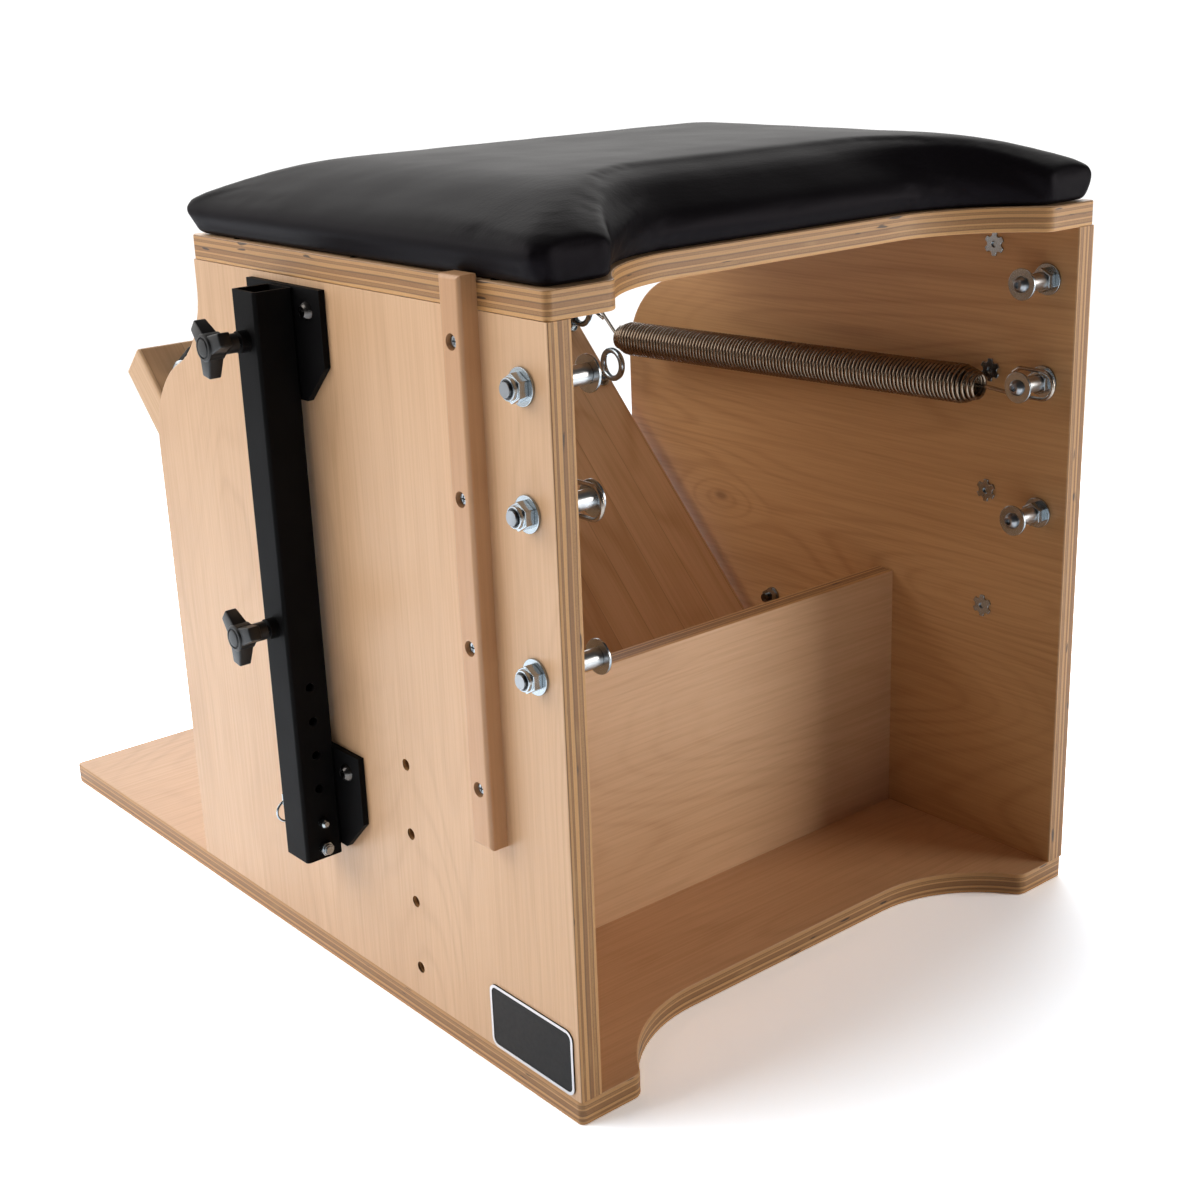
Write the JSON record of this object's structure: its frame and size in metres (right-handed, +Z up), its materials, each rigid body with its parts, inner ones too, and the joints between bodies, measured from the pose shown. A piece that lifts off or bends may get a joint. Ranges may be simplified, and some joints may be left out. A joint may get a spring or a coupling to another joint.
{
  "type": "pilates chair",
  "caption": "Low plywood exercise chair with a padded notched seat, a spring-loaded hinged foot pedal, side posts for the springs and a clamped handle socket on each side.",
  "frame": {"origin": "on the floor under the middle of the base board", "axes": "+Z up, +Y to the open rear of the case, -Y to the pedal, +X to the left side of a person who sits facing the pedal"},
  "size_m": [0.685, 0.806, 0.6321],
  "materials": {
    "plywood": "clear satin lacquer on maple-faced plywood",
    "pedal_wood": "clear satin lacquer on glued staves",
    "batten_wood": "clear satin lacquer",
    "vinyl": "smooth upholstery vinyl",
    "black_coat": "black powder coat",
    "black_plastic": "moulded black plastic",
    "rubber": "black rubber",
    "spring_steel": "bright zinc plate",
    "zinc": "bright zinc plate",
    "hinge_steel": "nickel plate",
    "plate_coat": "black enamel with a bare rim"
  },
  "bodies": {
    "case": {"base_board": "plywood", "base_screws": "zinc", "batten_left": "batten_wood", "batten_right": "batten_wood", "batten_screws": "zinc", "hinge_base_leaf": "hinge_steel", "hinge_base_screws": "zinc", "hinge_pin": "hinge_steel", "name_plate": "plate_coat", "partition_board": "plywood", "partition_screws": "zinc", "post_bolts": "zinc", "post_jam_nuts": "zinc", "post_lock_nuts": "zinc", "post_sleeves": "zinc", "post_washers": "zinc", "receiver_bolts": "zinc", "receiver_left": "black_coat", "receiver_nuts": "zinc", "receiver_right": "black_coat", "receiver_washers": "zinc", "seat_backing_board": "plywood", "seat_cushion": "vinyl", "seat_screws": "zinc", "side_panel_left": "plywood", "side_panel_right": "plywood", "stop_bolts": "zinc", "stop_nuts": "zinc", "tee_nuts": "zinc", "top_board": "plywood", "top_screws": "zinc"},
    "pedal": {"pedal_board": "pedal_wood", "hinge_pedal_leaf": "hinge_steel", "hinge_pedal_screws": "zinc", "eyebolts": "zinc", "eyebolt_washers": "zinc", "eyebolt_nuts": "zinc", "pedal_top_bumpers": "rubber", "pedal_stop_bumpers": "rubber", "bumper_screws": "zinc"},
    "spring_left": {"spring_coil_left": "spring_steel", "spring_front_hook_left": "spring_steel"},
    "rear_hook_left": {"spring_rear_hook_left": "spring_steel"},
    "spring_right": {"spring_coil_right": "spring_steel", "spring_front_hook_right": "spring_steel"},
    "rear_hook_right": {"spring_rear_hook_right": "spring_steel"},
    "stud_left_upper": {"clamp_stud_left_upper": "zinc"},
    "knob_left_upper": {"clamp_knob_left_upper": "black_plastic"},
    "stud_left_lower": {"clamp_stud_left_lower": "zinc"},
    "knob_left_lower": {"clamp_knob_left_lower": "black_plastic"},
    "stud_right_upper": {"clamp_stud_right_upper": "zinc"},
    "knob_right_upper": {"clamp_knob_right_upper": "black_plastic"},
    "stud_right_lower": {"clamp_stud_right_lower": "zinc"},
    "knob_right_lower": {"clamp_knob_right_lower": "black_plastic"},
    "pin_left": {"lock_pin_left": "zinc"},
    "ring_left": {"pull_ring_left": "zinc"},
    "pin_right": {"lock_pin_right": "zinc"},
    "ring_right": {"pull_ring_right": "zinc"}
  },
  "joints": [
    {"name": "pedal_hinge", "type": "hinge", "parent": "case", "child": "pedal", "pos_m": [0, 0.135, 0.023], "axis": [1, 0, 0], "range_deg": [0, 46.4], "stiffness_Nm_per_rad": 80, "springref_deg": -24.06},
    {"name": "spring_swing_left", "type": "hinge", "parent": "pedal", "child": "spring_left", "pos_m": [0.222, -0.17032, 0.43788], "axis": [1, 0, 0], "range_deg": [-21.6, 0.1]},
    {"name": "spring_stretch_left", "type": "slide", "parent": "spring_left", "child": "rear_hook_left", "axis": [0, 1, 0], "range_m": [-0.001, 0.2835], "deforming": ["spring_coil_left"]},
    {"name": "spring_swing_right", "type": "hinge", "parent": "pedal", "child": "spring_right", "pos_m": [-0.222, -0.17032, 0.43788], "axis": [1, 0, 0], "range_deg": [-21.6, 0.1]},
    {"name": "spring_stretch_right", "type": "slide", "parent": "spring_right", "child": "rear_hook_right", "axis": [0, 1, 0], "range_m": [-0.001, 0.2835], "deforming": ["spring_coil_right"]},
    {"name": "stud_travel_left_upper", "type": "slide", "parent": "case", "child": "stud_left_upper", "axis": [1, 0, 0], "range_m": [-0.00187, 0.00249]},
    {"name": "knob_turn_left_upper", "type": "hinge", "parent": "stud_left_upper", "child": "knob_left_upper", "pos_m": [0.33, 0.104, 0.5175], "axis": [1, 0, 0], "range_deg": [-540, 720]},
    {"name": "stud_travel_left_lower", "type": "slide", "parent": "case", "child": "stud_left_lower", "axis": [1, 0, 0], "range_m": [-0.00187, 0.00249]},
    {"name": "knob_turn_left_lower", "type": "hinge", "parent": "stud_left_lower", "child": "knob_left_lower", "pos_m": [0.33, 0.104, 0.302], "axis": [1, 0, 0], "range_deg": [-540, 720]},
    {"name": "stud_travel_right_upper", "type": "slide", "parent": "case", "child": "stud_right_upper", "axis": [-1, 0, 0], "range_m": [-0.00187, 0.00249]},
    {"name": "knob_turn_right_upper", "type": "hinge", "parent": "stud_right_upper", "child": "knob_right_upper", "pos_m": [-0.33, 0.104, 0.5175], "axis": [-1, 0, 0], "range_deg": [-540, 720]},
    {"name": "stud_travel_right_lower", "type": "slide", "parent": "case", "child": "stud_right_lower", "axis": [-1, 0, 0], "range_m": [-0.00187, 0.00249]},
    {"name": "knob_turn_right_lower", "type": "hinge", "parent": "stud_right_lower", "child": "knob_right_lower", "pos_m": [-0.33, 0.104, 0.302], "axis": [-1, 0, 0], "range_deg": [-540, 720]},
    {"name": "pin_pull_left", "type": "slide", "parent": "case", "child": "pin_left", "axis": [0, -1, 0], "range_m": [0, 0.06]},
    {"name": "ring_swing_left", "type": "hinge", "parent": "pin_left", "child": "ring_left", "pos_m": [0.291, 0.0655, 0.142], "axis": [1, 0, 0], "range_deg": [-150, 50]},
    {"name": "pin_pull_right", "type": "slide", "parent": "case", "child": "pin_right", "axis": [0, -1, 0], "range_m": [0, 0.06]},
    {"name": "ring_swing_right", "type": "hinge", "parent": "pin_right", "child": "ring_right", "pos_m": [-0.291, 0.0655, 0.142], "axis": [1, 0, 0], "range_deg": [-150, 50]}
  ],
  "couplings": [
    {"joint": "spring_swing_left", "follows": "pedal_hinge", "ratio": -0.4622},
    {"joint": "spring_stretch_left", "follows": "pedal_hinge", "m_per_rad": 0.34858},
    {"joint": "spring_swing_right", "follows": "pedal_hinge", "ratio": -0.4622},
    {"joint": "spring_stretch_right", "follows": "pedal_hinge", "m_per_rad": 0.34858},
    {"joint": "knob_turn_left_upper", "follows": "stud_travel_left_upper", "rad_per_m": 5026.5},
    {"joint": "knob_turn_left_lower", "follows": "stud_travel_left_lower", "rad_per_m": 5026.5},
    {"joint": "knob_turn_right_upper", "follows": "stud_travel_right_upper", "rad_per_m": 5026.5},
    {"joint": "knob_turn_right_lower", "follows": "stud_travel_right_lower", "rad_per_m": 5026.5}
  ]
}
